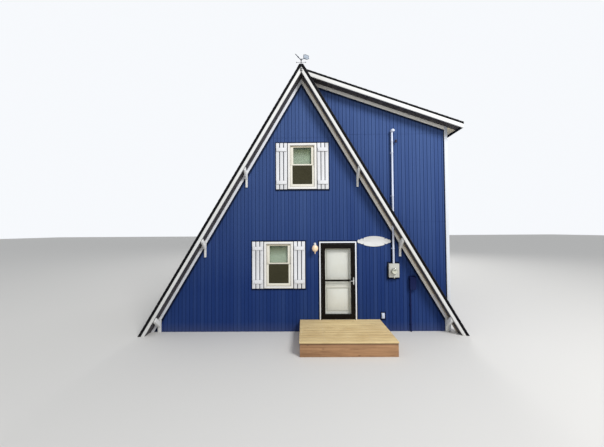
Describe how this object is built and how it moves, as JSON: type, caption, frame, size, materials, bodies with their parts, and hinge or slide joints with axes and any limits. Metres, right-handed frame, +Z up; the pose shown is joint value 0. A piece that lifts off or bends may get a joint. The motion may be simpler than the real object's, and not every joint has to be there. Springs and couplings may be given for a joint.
{
  "type": "a-frame cabin",
  "caption": "Hollow two-storey A-frame cabin with a shed-roofed wing, grooved blue siding, white trim, shuttered windows, a stoop and hinged storm and entry doors.",
  "frame": {"origin": "on the ground, under the middle of the object's overall width and length", "axes": "+Z up, -Y out of the front wall with the doorway, +X to the right as seen from the front"},
  "size_m": [8.698, 10.386, 7.549],
  "materials": {
    "siding": "blue paint on vertical-grooved plywood siding",
    "white_trim": "white paint on timber boards",
    "shutter_paint": "white paint on timber boards",
    "white_vinyl": "extruded white vinyl",
    "white_enamel": "white enamel",
    "dark_edge": "dark enamelled metal edge",
    "roof_timber": "dark stained timber soffit",
    "shingles": "mineral-surfaced charcoal shingles",
    "floor_boards": "plain sealed boards",
    "clear_glass": "clear glazing",
    "screen_mesh": "dark insect screen",
    "mill_aluminium": "mill finish",
    "black_enamel": "black satin enamel",
    "satin_steel": "satin",
    "stoop_wood": "weathered bare softwood",
    "rim_wood": "weathered brown softwood",
    "opal_glass": "cream opal glass",
    "plaque_white": "white paint, bare face",
    "meter_grey": "light grey enamel",
    "galvanised": "weathered galvanised steel",
    "box_blue": "blue wall paint over steel",
    "dark_iron": "dark painted iron",
    "vane_metal": "weathered pale metal"
  },
  "bodies": {
    "house": {"ground_floor": "floor_boards", "upper_floor": "floor_boards", "front_wall_left": "siding", "front_wall_right": "siding", "front_gable": "siding", "doorway_sill": "siding", "back_wall": "siding", "side_wall": "siding", "left_roof": "roof_timber", "left_roofing": "shingles", "wing_roof": "roof_timber", "wing_roofing": "shingles", "ridge_cap": "shingles", "right_rakes": "roof_timber", "right_rake_roofing": "shingles", "barge_boards": "white_trim", "wing_fascia": "white_trim", "roof_edges": "dark_edge", "wall_trim": "white_trim", "knee_braces": "white_trim", "front_window_frames": "white_vinyl", "back_window_frames": "white_vinyl", "side_window_frames": "white_vinyl", "window_sashes": "white_vinyl", "window_glass": "clear_glass", "window_screens": "screen_mesh", "shutters": "shutter_paint", "door_frame": "white_trim", "door_threshold": "mill_aluminium", "storm_door_frame": "black_enamel", "stoop_boards": "stoop_wood", "stoop_rim": "rim_wood", "stoop_joists": "rim_wood", "wall_light": "white_enamel", "wall_light_globe": "opal_glass", "name_plaque": "plaque_white", "meter_box": "meter_grey", "electric_meter": "clear_glass", "service_mast": "galvanised", "wiring_box": "box_blue", "outlet_cover": "meter_grey", "vane_post": "dark_iron"},
    "storm_door_leaf": {"storm_door": "black_enamel", "storm_door_glass": "clear_glass", "storm_door_handle": "satin_steel"},
    "storm_lever": {"storm_door_lever": "satin_steel"},
    "entry_door_leaf": {"entry_door": "white_enamel", "entry_door_knobs": "satin_steel"},
    "vane": {"vane_arrow": "vane_metal"}
  },
  "joints": [
    {"name": "storm_door_swing", "type": "hinge", "parent": "house", "child": "storm_door_leaf", "pos_m": [0.5325, -3.725, 0], "axis": [0, 0, -1], "range_deg": [0, 95]},
    {"name": "storm_lever_turn", "type": "hinge", "parent": "storm_door_leaf", "child": "storm_lever", "pos_m": [1.399, -3.719, 1.38], "axis": [0, -1, 0], "range_deg": [0, 40], "stiffness_Nm_per_rad": 0.6, "springref_deg": -22.92},
    {"name": "entry_door_swing", "type": "hinge", "parent": "house", "child": "entry_door_leaf", "pos_m": [0.5375, -3.557, 0], "axis": [0, 0, 1], "range_deg": [0, 100]},
    {"name": "vane_turn", "type": "hinge", "parent": "house", "child": "vane", "pos_m": [0, -4.035, 7.337], "axis": [0, 0, 1], "continuous": true}
  ]
}
